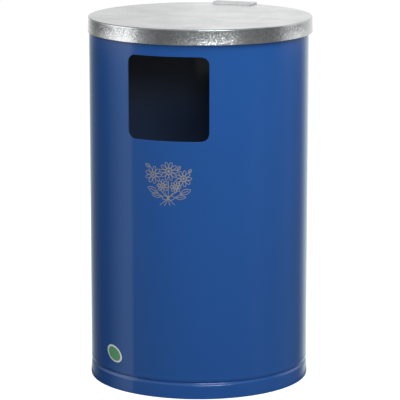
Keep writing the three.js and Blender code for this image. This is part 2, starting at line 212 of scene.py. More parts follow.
# Camera: a 219 mm lens four metres away, a little above the lid and to the right of the opening

camera = {
    "azimuth": 16.7, "distance": 3.96, "height": 1.0933, "lens": 218.8,
    "down": 11.446, "right": 0.025,  # degrees
}
viewTurn = math.radians(camera["azimuth"])


def aroundCamera(angle, distance, height):  # angle in degrees from the camera's side, to the right
    a = viewTurn + math.radians(angle)
    return Vector((distance * math.sin(a), -distance * math.cos(a), height))


cameraData = bpy.data.cameras.new("camera")
cameraData.lens = camera["lens"]
scene.camera = newObject("camera", cameraData)
scene.camera.location = aroundCamera(0, camera["distance"], camera["height"])
scene.camera.rotation_euler = (math.radians(90 - camera["down"]), 0, viewTurn - math.radians(camera["right"]))


# Studio: a pale floor, soft lamps for the paint, and a round tent of cards that only reflections see

lamps = [  # degrees from the camera's side, distance, height, size, watts; not seen in reflections
    ("keyLamp", 13, 2.0, 1.25, (1.4, 0.6), 16.8),
    ("lowLamp", 3, 2.2, 0.5, (0.3, 0.3), 3.2),
    ("highLamp", 35, 0.9, 1.5, (0.8, 0.6), 9.7),
    ("leftLamp", -75, 0.9, 1.5, (0.8, 0.6), 6.2),
    ("rightLamp", 110, 2.0, 0.9, (1.0, 1.2), 5.4),
    ("backLamp", 180, 1.4, 1.5, (1.2, 0.8), 18),
]
tent = {
    # Where on the casing the camera sees it, in degrees from the side that faces the camera; the glow of
    # the floor there, which the casing mirrors; the glow of the wall's foot and of its top, which the
    # upper and the lower half of the lid's rim mirror.
    "glow": [
        (-90, 1, 1, 0.97), (-89.2, 0.95, 0.97, 0.84), (-88, 0.9, 0.95, 0.82), (-82.5, 0.62, 1.2, 1.2),
        (-76.5, 0.38, 0.78, 0.8), (-71, 0.2, 0.46, 0.48), (-66, 0.1, 0.27, 0.3), (-60.5, 0.07, 0.42, 0.46),
        (-55, 0.09, 0.88, 0.88), (-49, 0.32, 1.55, 1.55), (-42.5, 0.62, 2, 2), (-38, 0.7, 2.1, 2.1),
        (-36.8, 0.7, 2, 2), (-36.2, 0.26, 1.8, 1.8), (-33, 0.26, 0.55, 0.6), (-27, 0.22, 0.17, 0.32),
        (-21, 0.22, 0.08, 0.2), (-16, 0.23, 0.09, 0.24), (-10.5, 0.22, 0.14, 0.36), (-5, 0.21, 0.13, 0.5),
        (0, 0.2, 0.14, 0.66), (8, 0.21, 0.17, 0.82), (16, 0.21, 0.17, 0.76), (19, 0.21, 0.13, 0.4),
        (22, 0.22, 0.13, 0.28), (31, 0.29, 0.11, 0.24), (37.5, 0.235, 0.12, 0.22), (42, 0.225, 0.18, 0.26),
        (45, 0.24, 0.42, 0.48), (48.5, 0.26, 0.84, 0.9), (53, 0.26, 1.02, 1.1), (60, 0.19, 1, 1.06),
        (65.5, 0.21, 0.95, 1), (69.5, 0.45, 0.92, 0.96), (74.5, 0.85, 0.9, 0.94), (82.5, 1, 0.95, 0.96),
        (90, 0.9, 1, 0.98)],
    "inside": 0.1825, "dark": 0.195, "radius": 4.26, "skin": 0.3 * mm,  # the floor's rings, just above it
    "lowFrom": 0.05, "lowTo": 0.22, "highFrom": 0.36, "highTo": 1.55, "upperFrom": 1.85, "top": 3,
    "upper": 0.75,
    "softbox": {"from": -4, "to": 17.5, "radius": 4.2, "foot": 1.2, "top": 1.62, "glow": 23,
                "tint": (0.92, 1.06, 1.08), "steps": 12, "fade": 4, "least": 0.1},  # dimmer at both ends
    "ceiling": {"height": 2.6, "radius": 1.4, "glow": 0.55, "sides": 36},
    "floorTint": (1, 1.13, 1.1),  # the floor of the room looks a little cooler than the rest
}
studio = {"worldFill": 0.2, "floorColour": "#8C8C8C", "floorGlow": 0.95, "floorReach": 12,
          "target": (0, 0, 0.32), "mirror": 0.18}  # the lamps' target, the casing's radius


def makeLamp(name, angle, distance, height, size, watts):
    data = bpy.data.lights.new(name, "AREA")
    data.shape, data.energy = "RECTANGLE", watts
    data.size, data.size_y = size
    piece = newObject(name, data)
    piece.location = aroundCamera(angle, distance, height)
    piece.rotation_euler = (piece.location - Vector(studio["target"])).to_track_quat("Z", "Y").to_euler()
    piece.visible_camera = piece.visible_glossy = False


def seenRays(add):  # 1 for rays that show the white background
    path = add("LightPath").outputs
    seen = path["Is Camera Ray"]
    for kind in ("Is Glossy Ray", "Is Transmission Ray"):
        seen = add("Math", [seen, path[kind]], operation="MAXIMUM")
    return seen


def makeWorld():
    world = bpy.data.worlds.new("studioWorld")
    world.use_nodes = True
    world.node_tree.nodes.clear()
    add = partial(addNode, world.node_tree)
    fill = studio["worldFill"]
    strength = add("MapRange", {"Value": seenRays(add), "To Min": fill, "To Max": 1})
    light = add("Background", {"Color": (1, 1, 1, 1), "Strength": strength})
    add("OutputWorld", {"Surface": light})
    scene.world = world


def stagePiece(name, points, faces, material):
    piece = newObject(name, newMesh(name, points, [], faces, material))
    return piece


def makeFloor():
    material, add = newMaterial("studioFloor")
    paper = add("BsdfDiffuse", {"Color": studio["floorColour"]})
    strength = add("Math", [seenRays(add), studio["floorGlow"]], operation="MULTIPLY")
    glow = add("Emission", {"Strength": strength})
    both = add("AddShader", [paper, glow])
    add("OutputMaterial", {"Surface": both})
    r = studio["floorReach"]
    stagePiece("floor", [(-r, -r, 0), (r, -r, 0), (r, r, 0), (-r, r, 0)], [(0, 1, 2, 3)], material)


def makeCard(name, points, faces, glows):  # seen by reflections only
    card = stagePiece(name, points, faces, cardGlow)
    for spot, glow in zip(card.data.attributes.new("glow", "FLOAT_VECTOR", "POINT").data, glows):
        spot.vector = glow if isinstance(glow, Vector) else [glow] * 3
    for kind in ("camera", "diffuse", "transmission", "volume_scatter", "shadow"):
        setattr(card, "visible_" + kind, False)


def reflected(seen, reach, height):  # what the casing mirrors at that angle, on a ring round the bin
    a, r = math.radians(seen), studio["mirror"]
    spot = Vector((r * math.sin(a), -r * math.cos(a)))
    way = 2 * a + math.atan2(spot.x, camera["distance"] + spot.y)
    ray = Vector((math.sin(way), -math.cos(way)))
    along = spot.dot(ray)
    spot += ray * (math.sqrt(along ** 2 + reach ** 2 - r ** 2) - along)
    return Matrix.Rotation(viewTurn, 3, "Z") @ Vector((*spot, height))


def makeTent():
    t, table = tent, []
    for row, following in zip(t["glow"], t["glow"][1:]):
        steps = max(1, round((following[0] - row[0]) / 2))  # a column of the wall every 2 degrees
        table += [blend(row, following, share) for share in between(0, 1, steps)[:-1]]
    table.append(t["glow"][-1])
    rings = [(reach, t["skin"], kind) for reach, kind in (
        (t["inside"], 0), (t["dark"], 1), (1, 1), (t["radius"], 1))]
    rings += [(t["radius"], z, kind) for z, kind in (
        (1 * mm, 1), (t["lowFrom"], 2), (t["lowTo"], 2), (t["highFrom"], 3), (t["highTo"], 3),
        (t["upperFrom"], 4), (t["top"], 4))]
    count = len(table)
    points = [reflected(row[0], reach, z) for reach, z, _ in rings for row in table]
    faces = [(count * k + i, count * k + i + 1, count * (k + 1) + i + 1, count * (k + 1) + i)
             for k in range(len(rings) - 1) for i in range(count - 1)]
    glows = [(0, row[1] * Vector(t["floorTint"]), row[2], row[3], t["upper"])[kind]
             for _, _, kind in rings for row in table]  # the first ring is the bin's own shadow
    makeCard("tent", points, faces, glows)

    box, ceiling = t["softbox"], t["ceiling"]
    steps = box["steps"]
    points = [reflected(a, box["radius"], z)
              for a in between(box["from"], box["to"], steps) for z in (box["foot"], box["top"])]
    faces = [(2 * i, 2 * i + 2, 2 * i + 3, 2 * i + 1) for i in range(steps)]
    shares = [min(1, (box["least"] + min(i, steps - i)) / box["fade"])
              for i in range(steps + 1) for _ in range(2)]
    makeCard("softboxCard", points, faces, [box["glow"] * share * Vector(box["tint"]) for share in shares])
    sides = ceiling["sides"]
    points = [aroundCamera(a, ceiling["radius"], ceiling["height"]) for a in between(0, 360, sides)[:-1]]
    makeCard("ceilingCard", points, [tuple(range(sides))], [ceiling["glow"]] * sides)


cardGlow, add = newMaterial("cardGlow")
level = add("Attribute", attribute_name="glow").outputs["Vector"]
add("OutputMaterial", {"Surface": add("Emission", {"Color": level})})
for lamp in lamps:
    makeLamp(*lamp)
makeWorld()
makeFloor()
makeTent()
print("studio: camera,", len(lamps), "lamps and the tent")


# Finishes

def newFinish(name, *noises):  # with the object's own coordinates; noises are pairs of mm and detail
    material, add = newMaterial(name)
    where = add("TexCoord").outputs["Object"]
    made = [add("TexNoise", {"Vector": where, "Scale": 1 / (size * mm), "Detail": detail})
            for size, detail in noises]
    return material, add, where, *made


def endFinish(material, add, looks):
    add("OutputMaterial", {"Surface": add("BsdfPrincipled", looks)})
    return material


def powderCoat():
    # Polyester powder coat, baked on: an even satin gloss with a slight orange peel that softens
    # the edges of reflections, on sheet whose rolling left it faintly wavy. Inside the drum the colour is
    # painted light: grey at the top fading to blue at the foot, a painted glare above and painted light
    # below.
    finish = {
        "light": "#1F55A0", "dark": "#1E539A", "roughness": (0.10, 0.14), "ior": 1.5,
        "tone": (140, 2), "peel": (2.2, 1), "wave": 70, "waveStretch": 0.25,
        "peelDepth": 0.002, "waveDepth": 0.05,
        "insideOf": 179.6, "insideAbove": 40, "paintedGlareTop": "#565B64", "paintedLightFoot": "#485B80",
        "fadeFrom": 400, "fadeTo": 490,  # mm
    }
    material, add, where, tone, peel = newFinish("blue polyester powder coat", finish["tone"], finish["peel"])
    upright = add("VectorMath", [where, (1, 1, finish["waveStretch"])], operation="MULTIPLY")
    wave = add("TexNoise", {"Vector": upright, "Scale": 1 / (finish["wave"] * mm), "Detail": 0})
    axes = add("SeparateXYZ", [where]).outputs
    onPlane = add("CombineXYZ", [axes[0], axes[1]])
    reach = add("VectorMath", [onPlane], operation="LENGTH")
    within = add("Math", [reach, finish["insideOf"] * mm], operation="LESS_THAN")
    above = add("Math", [axes[2], finish["insideAbove"] * mm], operation="GREATER_THAN")
    inside = add("Math", [within, above], operation="MULTIPLY")
    # painted light inside the drum: grey glare high up, fading to lit blue towards the foot
    fade = add("MapRange", {
        "Value": axes[2], "From Min": finish["fadeFrom"] * mm, "From Max": finish["fadeTo"] * mm})
    outer, inner = [
        add("Mix", {0: factor, 6: finish[first], 7: finish[second]}, data_type="RGBA")
        for factor, first, second in ((tone, "dark", "light"), (fade, "paintedLightFoot", "paintedGlareTop"))]
    coat = add("Mix", {0: inside, 6: outer, 7: inner}, data_type="RGBA")
    smooth, rough = finish["roughness"]
    gloss = add("MapRange", {"Value": tone, "To Min": smooth, "To Max": rough})
    low = add("Bump", {"Height": wave, "Distance": finish["waveDepth"] * mm})
    fine = add("Bump", {"Height": peel, "Distance": finish["peelDepth"] * mm, "Normal": low})
    return endFinish(material, add, {
        "Base Color": coat, "Roughness": gloss, "IOR": finish["ior"], "Normal": fine})


def galvanised(name, finish):
    # Hot-dip zinc: small crystals, each a little lighter or darker and tilted its own way, under a
    # soft cloudy bloom. Where a bright and a dark reflection meet, the grain breaks up their border
    # into sparks. The real grain is under a millimetre and is drawn coarser, so that it shows.
    foldShadowColour, drawnBelow, drawnFrom = "#5E6163", 598 * mm, 595 * mm
    smooth, rough = finish["roughness"]
    material, add, where, cloud, grit = newFinish(name, (finish["cloud"], 3), (finish["grain"], 2))
    crystal = add("TexVoronoi", {"Vector": where, "Scale": 1 / (finish["spangle"] * mm)}).outputs
    one = add("SeparateColor", {0: crystal["Color"]})
    mixed = add("Mix", {0: finish["crystalShare"], 2: cloud, 3: one})
    shade = add("MapRange", {"Value": mixed, "From Min": 0.3, "From Max": 0.7})
    gloss = add("MapRange", {"Value": mixed, "To Min": rough, "To Max": smooth})
    paintedFoldShadow = add("Attribute", attribute_name="paintedFoldShadow").outputs["Fac"]  # 1 where a shadow line is painted along the lid's fold
    colour = add("Mix", {0: shade, 6: finish["dark"], 7: finish["light"]}, data_type="RGBA")
    # the zinc along the lid's fold takes a painted shadow line in darker grey
    colour = add("Mix", {0: paintedFoldShadow, 6: colour, 7: foldShadowColour}, data_type="RGBA")
    height = add("SeparateXYZ", [where]).outputs[2]
    drawn = add("MapRange", {  # sheet that was drawn over an edge shows more grain
        "Value": height, "From Min": drawnBelow, "From Max": drawnFrom,
        "To Min": finish["flatGrain"], "To Max": 1})
    bumped = add("Bump", {
        "Height": grit, "Distance": finish["grainDepth"] * mm, "Strength": drawn})
    way = add("VectorMath", [crystal["Color"], (0.5, 0.5, 0.5)], operation="SUBTRACT")
    lean = add("Math", [drawn, finish["tilt"]], operation="MULTIPLY")
    tilt = add("VectorMath", {0: way, "Scale": lean}, operation="SCALE")
    normal = add("VectorMath", [bumped, tilt], operation="ADD")
    normal = add("VectorMath", [normal], operation="NORMALIZE")
    return endFinish(material, add, {
        "Base Color": colour, "Metallic": 1, "Roughness": gloss, "Normal": normal})


def platedSteel():
    # Bright zinc-plated fasteners and wire: smoother than dipped zinc, with fine drawn scratches.
    finish = {"light": "#C9CBCE", "dark": "#A7A9AD", "roughness": (0.26, 0.4),
              "scratch": 0.9, "depth": 0.006}  # mm
    smooth, rough = finish["roughness"]
    material, add, _, worn = newFinish("bright zinc-plated steel", (finish["scratch"], 3))
    colour = add("Mix", {0: worn, 6: finish["dark"], 7: finish["light"]}, data_type="RGBA")
    gloss = add("MapRange", {"Value": worn, "To Min": smooth, "To Max": rough})
    bump = add("Bump", {"Height": worn, "Distance": finish["depth"] * mm})
    return endFinish(material, add, {
        "Base Color": colour, "Metallic": 1, "Roughness": gloss, "Normal": bump})


def bronzeInk():
    # Screen-printed ink with bronze pigment: flat and thin, greyish gold, only just shinier than chalk.
    finish = {"light": "#A9A492", "dark": "#8A887F", "roughness": 0.5, "patch": 6, "metallic": 0.2}
    material, add, _, patchy = newFinish("bronze screen ink", (finish["patch"], 2))
    colour = add("Mix", {0: patchy, 6: finish["dark"], 7: finish["light"]}, data_type="RGBA")
    return endFinish(material, add, {
        "Base Color": colour, "Metallic": finish["metallic"], "Roughness": finish["roughness"]})


def printedFilm():
    # Self-adhesive vinyl, printed and varnished: a white rim round a green field, softly glossy.
    finish = {"rim": "#EEF4F4", "light": "#6CB07C", "dark": "#479560", "rimWidth": 0.2, "rimBlur": 0.01,
              "mottle": 5, "roughness": 0.3, "ior": 1.52}
    material, add, _, mottle = newFinish("printed vinyl film", (finish["mottle"], 1))
    spot = add("UVMap", uv_map="oval").outputs[0]
    centred = add("VectorMath", [spot, (0.5, 0.5, 0)], operation="SUBTRACT")
    radius = add("VectorMath", [centred], operation="LENGTH")
    edge, blur = 0.5 * (1 - finish["rimWidth"]), finish["rimBlur"]
    rim = add("MapRange", {"Value": radius, "From Min": edge - blur, "From Max": edge + blur})
    field = add("Mix", {0: mottle, 6: finish["dark"], 7: finish["light"]}, data_type="RGBA")
    colour = add("Mix", {0: rim, 6: field, 7: finish["rim"]}, data_type="RGBA")
    return endFinish(material, add, {
        "Base Color": colour, "Roughness": finish["roughness"], "IOR": finish["ior"]})


bluePaint = powderCoat()
lidZinc = galvanised("hot-dip zinc, fine grain", {
    "light": "#D8D9DA", "dark": "#B8B9BA", "roughness": (0.14, 0.22), "crystalShare": 0.2, "tilt": 0.1,
    "spangle": 1.6, "cloud": 55, "grain": 1.1, "grainDepth": 0.07, "flatGrain": 0.15})
hingeZinc = galvanised("hot-dip zinc, dull", {
    "light": "#DEDFE0", "dark": "#C6C7C8", "roughness": (0.26, 0.34), "crystalShare": 0.3, "tilt": 0.02,
    "spangle": 2, "cloud": 30, "grain": 1.3, "grainDepth": 0.015, "flatGrain": 1})
sheetZinc = galvanised("galvanised sheet, open spangle", {
    "light": "#CDD0D2", "dark": "#A3A7AA", "roughness": (0.3, 0.45), "crystalShare": 0.6, "tilt": 0.06,
    "spangle": 11, "cloud": 80, "grain": 4, "grainDepth": 0.03, "flatGrain": 1})
steel = platedSteel()
ink = bronzeInk()
film = printedFilm()
print("finishes: 7 materials")


# Casing: the blank is laid out flat with its opening punched, then rolled up

casing = {
    **millimetres(
        radius=180, sheet=1.2, top=598.7, hem=10, skirtHeight=20.8, skirtFlare=1.1,
        beadBottom=26.8, beadRise=2.6, beadFall=6, beadDepth=1.8,
        swellHeight=6.5, swell=0.3,  # above the bead
        openingWidth=134.5, openingHeight=135, openingFoot=421, openingCorner=13, margin=14, step=5,
        cutEdge=0.35, besideEdge=0.77),  # the rounding of cut edges, the first line beside it
    "sideSteps": 24, "cornerSteps": 8, "edgeSteps": 3,
    "ringShares": (0.3, 0.55, 0.78, 1),  # rings of points on the way from the patch's border to the opening
}


def acrossSheet(x):  # length along the sheet at a straight distance x from the opening's middle
    return casing["radius"] * math.asin(x / casing["radius"])


def openingLoop(grow):  # the opening's outline, made larger all round by grow
    a, h, c = casing["openingWidth"] / 2, casing["openingHeight"] / 2, casing["openingCorner"]
    loop = []
    for quarter, (right, up) in enumerate([(1, 1), (-1, 1), (-1, -1), (1, -1)]):
        for share in between(-1, 1, casing["sideSteps"])[:-1]:
            if quarter % 2 == 0:
                loop.append((right * (a + grow), right * share * (h - c)))
            else:
                loop.append((-up * share * (a - c), up * (h + grow)))
        centre = (right * (a - c), up * (h - c))
        loop += arc(centre, c + grow, 90 * quarter, 90 * quarter + 90, casing["cornerSteps"])[:-1]
    return [(acrossSheet(x), casing["openingFoot"] + h + z) for x, z in loop]


def patchPlaces():  # for each point of the opening's outline, its column and row on the patch round it
    n, half = casing["sideSteps"], casing["cornerSteps"] // 2
    last = n + 2 * half
    places = []
    for quarter in range(4):
        side = [(last, half + i) for i in range(n + half)] + [(last - i, last) for i in range(half)]
        for column, row in side:
            for _ in range(quarter):
                column, row = last - row, column
            places.append((column, row))
    return places


def patchLines(half, corner):  # the grid's lines across the patch, from its middle
    straight = between(corner - half, half - corner, casing["sideSteps"])
    ends = between(half - corner, half + casing["margin"], casing["cornerSteps"] // 2)[1:]
    return [-e for e in reversed(ends)] + straight + ends


def casingBlank():
    c = casing
    sheet, edge, beside, steps = c["sheet"], c["cutEdge"], c["besideEdge"], c["edgeSteps"]
    across = [acrossSheet(x) for x in patchLines(c["openingWidth"] / 2, c["openingCorner"])]
    middle = c["openingFoot"] + c["openingHeight"] / 2
    patchRows = [middle + z for z in patchLines(c["openingHeight"] / 2, c["openingCorner"])]
    around = 2 * math.pi * c["radius"] - 2 * across[-1]
    columns = across + between(across[-1], across[-1] + around, round(around / c["step"]))[1:-1]

    # Rows up the sheet: close together over the bead and the swell, wide apart elsewhere
    beadFoot, beadTop = c["beadBottom"] - c["beadFall"], c["beadBottom"] + c["beadRise"]
    hemFoot, hemTop = c["top"] - c["hem"], c["top"] - 1.5 * sheet
    rows = [edge, beside] + between(3 * mm, beadFoot - 1 * mm, 5) + between(beadFoot, c["beadBottom"], 14)
    rows += between(c["beadBottom"], beadTop, 10)[1:] + between(beadTop, beadTop + c["swellHeight"], 10)[1:]
    rows += between(beadTop + 10 * mm, patchRows[0] - 6 * mm, 24)
    low = len(rows)
    rows += patchRows + between(patchRows[-1] + 5 * mm, hemFoot - beside, 3)

    # The sheet's section: up outside, over the hem and down its inner leaf, then down inside
    section = [(0, z) for z in rows + between(hemFoot, hemTop, 3)]
    section += arc((sheet, c["top"] - sheet), sheet, 180, 0, 8)
    section += [(2 * sheet, z) for z in between(hemTop, hemFoot + beside, 3)]
    section += arc((2 * sheet - edge, hemFoot + edge), edge, 0, -90, steps)
    section += [(sheet, z) for z in [hemFoot] + rows[::-1]]
    foot = arc((sheet - edge, edge), edge, 0, -90, steps)[1:] + arc((edge, edge), edge, -90, -180, steps)[:-1]
    section += foot
    high = len(section) - len(foot) - 1 - low  # on the inner side the patch's foot comes last

    points, faces, known = [], [], {}

    def vertex(column, row):
        key = (column % len(columns), row % len(section))
        if key not in known:
            known[key] = len(points)
            points.append((columns[key[0]], *section[key[1]]))
        return known[key]

    inPatch = lambda column, row: column < len(across) - 1 and (
        low <= row < low + len(patchRows) - 1 or high - len(patchRows) + 1 <= row < high)
    for column in range(len(columns)):
        for row in range(len(section)):
            if not inPatch(column, row):
                corners = [(column, row), (column + 1, row), (column + 1, row + 1), (column, row + 1)]
                faces.append([vertex(*corner) for corner in corners])

    # Rings of points lead from the patch's border to the opening, round its edge and back inside
    places = patchPlaces()
    outerRing = [vertex(column, low + row) for column, row in places]
    innerRing = [vertex(column, high - row) for column, row in places]
    start = [(points[i][0], points[i][2]) for i in outerRing]
    goal = openingLoop(beside)
    layers = [(0, [blend(a, b, share) for a, b in zip(start, goal)]) for share in c["ringShares"]]
    layers += [(deep, openingLoop(back)) for back, deep in arc((edge, edge), edge, -90, -180, steps)]
    layers += [(sheet - deep, line) for deep, line in reversed(layers)]
    rings = [addRing(points, [(s, deep, z) for s, z in line]) for deep, line in layers]
    return points, faces + ringFaces([outerRing] + rings + [innerRing])


def rollingTree():  # x along the sheet, y into it and z up become a drum with its bead and flared skirt
    tree, add, enter = newTree("roll sheet", "radius", "beadBottom", "beadRise", "beadFall", "beadDepth",
                               "swellHeight", "swell", "skirtHeight", "skirtFlare")
    flat = add("SeparateXYZ", [add("GeometryNodeInputPosition")]).outputs
    known = {**enter, "x": flat[0], "y": flat[1], "z": flat[2]}
    for name, operation, *values in (  # the names that end in Share stay within 0 and 1
            ("above", "SUBTRACT", "z", "beadBottom"), ("upShare", "DIVIDE", "above", "beadRise"),
            ("below", "SUBTRACT", "beadBottom", "z"), ("downShare", "DIVIDE", "below", "beadFall"),
            ("beadShare", "ADD", "upShare", "downShare"), ("beadTurn", "MULTIPLY", "beadShare", math.pi),
            ("beadWave", "COSINE", "beadTurn"), ("beadPart", "MULTIPLY_ADD", "beadWave", 0.5, 0.5),
            ("beadIn", "MULTIPLY", "beadPart", "beadDepth"), ("pastBead", "SUBTRACT", "above", "beadRise"),
            ("swellShare", "DIVIDE", "pastBead", "swellHeight"),
            ("swellTurn", "MULTIPLY", "swellShare", math.pi), ("swellWave", "SINE", "swellTurn"),
            ("swellPart", "POWER", "swellWave", 2),
            ("swellOut", "MULTIPLY", "swellPart", "swell"), ("skirtShare", "DIVIDE", "z", "skirtHeight"),
            ("skirtPart", "SUBTRACT", 1, "skirtShare"), ("skirtOut", "MULTIPLY", "skirtPart", "skirtFlare"),
            ("reach", "SUBTRACT", "radius", "y"), ("reach", "SUBTRACT", "reach", "beadIn"),
            ("reach", "ADD", "reach", "skirtOut"), ("reach", "ADD", "reach", "swellOut"),
            ("angle", "DIVIDE", "x", "radius")):
        inputs = [known.get(value, value) for value in values]
        known[name] = add("Math", inputs, operation=operation, use_clamp=name.endswith("Share"))
    endTree(add, enter, layRound(add, enter["geometry"], known["angle"], known["reach"], flat[2]))
    return tree


def makeCasing():
    points, faces = casingBlank()
    sheet = newMesh("casing", points, [], faces)
    piece = runTree("casing", sheet, rollingTree(), {**casing, "material": bluePaint})
    place(piece, "housing", "blue_paint", "body_shell")


makeCasing()
for node, material in (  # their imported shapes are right, so they keep them
        ("base_pan", bluePaint), ("hinge_packing_block", bluePaint), ("liner_bottom", sheetZinc)):
    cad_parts[node].data.materials.clear()
    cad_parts[node].data.materials.append(material)
print("casing rolled")


# Lid

lid = {
    **millimetres(
        radius=184.32, top=600, sheet=1, rim=25, corner=1.6, innerCorner=0.8, firstRing=20, shift=2.3,
        flare=0.8, footTurn=0.14),  # the rim opens out, and its foot turns in again
    "footShare": 0.18, "sides": 240, "turn": -3,  # degrees
    "foldShadowAt": -13, "foldShadowFrom": 33, "foldShadowTo": 84,  # degrees, where a shadow line is painted along the fold
}
hingeFrame = Matrix.Rotation(math.radians(lid["turn"]), 4, "Z") @ Matrix.Translation((lid["shift"], 0, 0))


def inHingeFrame(piece):  # from the hinge's frame, X along the pin and Y outwards, to the bin's
    piece.data.transform(hingeFrame)
    return piece


def makeLid():
    r, top, sheet, corner, inner = (lid[key] for key in ("radius", "top", "sheet", "corner", "innerCorner"))
    foot, fold, lip = top - lid["rim"], top - corner, sheet / 2

    def flared(z):
        share = (z - foot) / (fold - foot)
        turned = max(0, 1 - share / lid["footShare"]) ** 2
        return r - lid["flare"] * (1 - (1 - share) ** 3) - lid["footTurn"] * turned

    edge, lipTop = flared(fold), foot + lip + 0.4 * mm
    across = between(lid["firstRing"], edge - corner - 1 * mm, 10)
    profile = [(x, top) for x in [0] + across] + arc((edge - corner, fold), corner, 90, 0, 10)
    profile += [(flared(z), z) for z in between(fold - 0.8 * mm, lipTop, 14)]
    profile += arc((flared(foot) - lip, foot + lip), lip, 0, -180, 8)
    profile += [(flared(z) - sheet, z) for z in between(lipTop, fold, 8)]
    profile += arc((edge - sheet - inner, top - sheet - inner), inner, 0, 90, 5)
    profile += [(x, top - sheet) for x in across[::-1] + [0]]
    piece = meshPiece("lidCover", *turnedMesh(profile, lid["sides"]), lidZinc)

    def foldShadowShare(p):  # how much painted shadow the fold gets at that point
        up, out = p.z - fold, p.xy.length - edge + corner
        slope = math.degrees(math.atan2(up, out))
        if up <= 0 or out <= 0 or not lid["foldShadowFrom"] < slope < lid["foldShadowTo"]:
            return 0.0
        side = math.atan2(p.x, -p.y) - math.radians(lid["foldShadowAt"])
        return min(1.0, max(0.0, 4 * math.cos(side) - 1))  # it fades out 60 to 76 degrees to either side

    # a painted shadow line along the fold, on the front left side only
    foldShadowShares = [foldShadowShare(v.co) for v in piece.data.vertices]
    piece.data.attributes.new("paintedFoldShadow", "FLOAT", "POINT").data.foreach_set("value", foldShadowShares)
    place(inHingeFrame(piece), "lid", "galvanised_zinc", "lid_cover")


makeLid()
print("lid turned")


# Hinge

hinge = {
    **millimetres(
        width=71, leaf=2.8, axisY=186, axisZ=569.7, knuckle=4, knuckleLength=23.33, knuckleGap=0.5,
        pin=2, bore=2.3, edge=0.4, strapStart=155.3, strapFoot=600.3, strapCorner=7, bend=1, strapEnd=574.5,
        slope=9, slopeEdge=0.12, dip=0.25,  # the front is ground thin and lies on the lid
        plateTop=564.9, plateHeight=48, plateFace=185.8, overlap=1,
        pinHead=3.6, pinHeadHeight=1.8, pinHeadEdge=0.7, pinHeadGap=0.3),
    "sides": 40,
}


def bevelled(piece, width):
    bevel = piece.modifiers.new("edges", "BEVEL")
    bevel.width, bevel.segments = width, 2
    bevel.limit_method, bevel.angle_limit = "ANGLE", math.radians(40)
    toPlainMesh(piece)
    smoothMesh(piece.data, 50)
    return piece


def joinPieces(name, pieces):
    shape = bmesh.new()
    for piece in pieces:
        shape.from_mesh(piece.data)
    mesh = newMesh(name, [], material=pieces[0].data.materials[0])
    shape.to_mesh(mesh)
    shape.free()
    for piece in pieces:
        bpy.data.objects.remove(piece)
    return newObject(name, mesh)


def boxMesh(size, centre):
    points = [tuple(c + sign * s / 2 for c, s, sign in zip(centre, size, (i, j, k)))
              for k in (-1, 1) for j in (-1, 1) for i in (-1, 1)]
    return points, [(0, 1, 3, 2), (4, 6, 7, 5), (0, 4, 5, 1), (2, 3, 7, 6), (0, 2, 6, 4), (1, 5, 7, 3)]


def pinwise(profile, x=0):  # a profile turned about the hinge's axis, its middle at x
    points, faces = turnedMesh(profile, hinge["sides"])
    return [(x + along, hinge["axisY"] + across, hinge["axisZ"] + up) for across, up, along in points], faces


def knuckleMesh(x):
    h, half = hinge, hinge["knuckleLength"] / 2
    return pinwise([(h["bore"], -half), (h["knuckle"], -half), (h["knuckle"], half), (h["bore"], half)], x)


def strapMesh():  # the leaf's middle line runs over the lid and down outside its rim
    h = hinge
    middle, halfWidth, corner = h["strapFoot"] + h["leaf"] / 2, h["width"] / 2, h["strapCorner"]
    bendY, bendZ = h["axisY"] - h["leaf"] / 2 - h["bend"], h["strapFoot"] - h["bend"]
    stations = []  # place, direction outwards from the sheet, half width
    for back, along in arc((corner, corner), corner, -90, -180, 8):
        stations.append(((h["strapStart"] + along, middle), (0, 1), halfWidth - back))
    for y in between(h["strapStart"] + corner, bendY, 4)[1:-1]:
        stations.append(((y, middle), (0, 1), halfWidth))
    bend = arc((bendY, bendZ), h["bend"] + h["leaf"] / 2, 90, 0, 8)
    stations += [(spot, out, halfWidth) for spot, out in zip(bend, arc((0, 0), 1, 90, 0, 8))]
    for z in between(bendZ, h["strapEnd"], 3)[1:]:
        stations.append(((h["axisY"], z), (1, 0), halfWidth))
    points, faces, shares = [], [], between(-1, 1, 8)
    for (y, z), (outY, outZ), half in stations:
        left = max(0, 1 - (y - h["strapStart"]) / h["slope"])
        for side in (1, -1):
            thinned = h["leaf"] - h["slopeEdge"] if side > 0 else 0
            reach = side * h["leaf"] / 2 - left * (thinned + h["dip"])
            points += [(share * half, y + reach * outY, z + reach * outZ) for share in shares]
    wide = len(shares)
    loops = [[*range(a, a + wide), *range(a + 2 * wide - 1, a + wide - 1, -1)]
             for a in range(0, len(points), 2 * wide)]
    for a in (loops[0][0], loops[-1][0]):
        faces += [(a + j, a + j + 1, a + wide + j + 1, a + wide + j) for j in range(wide - 1)]
    return points, faces + ringFaces(loops)


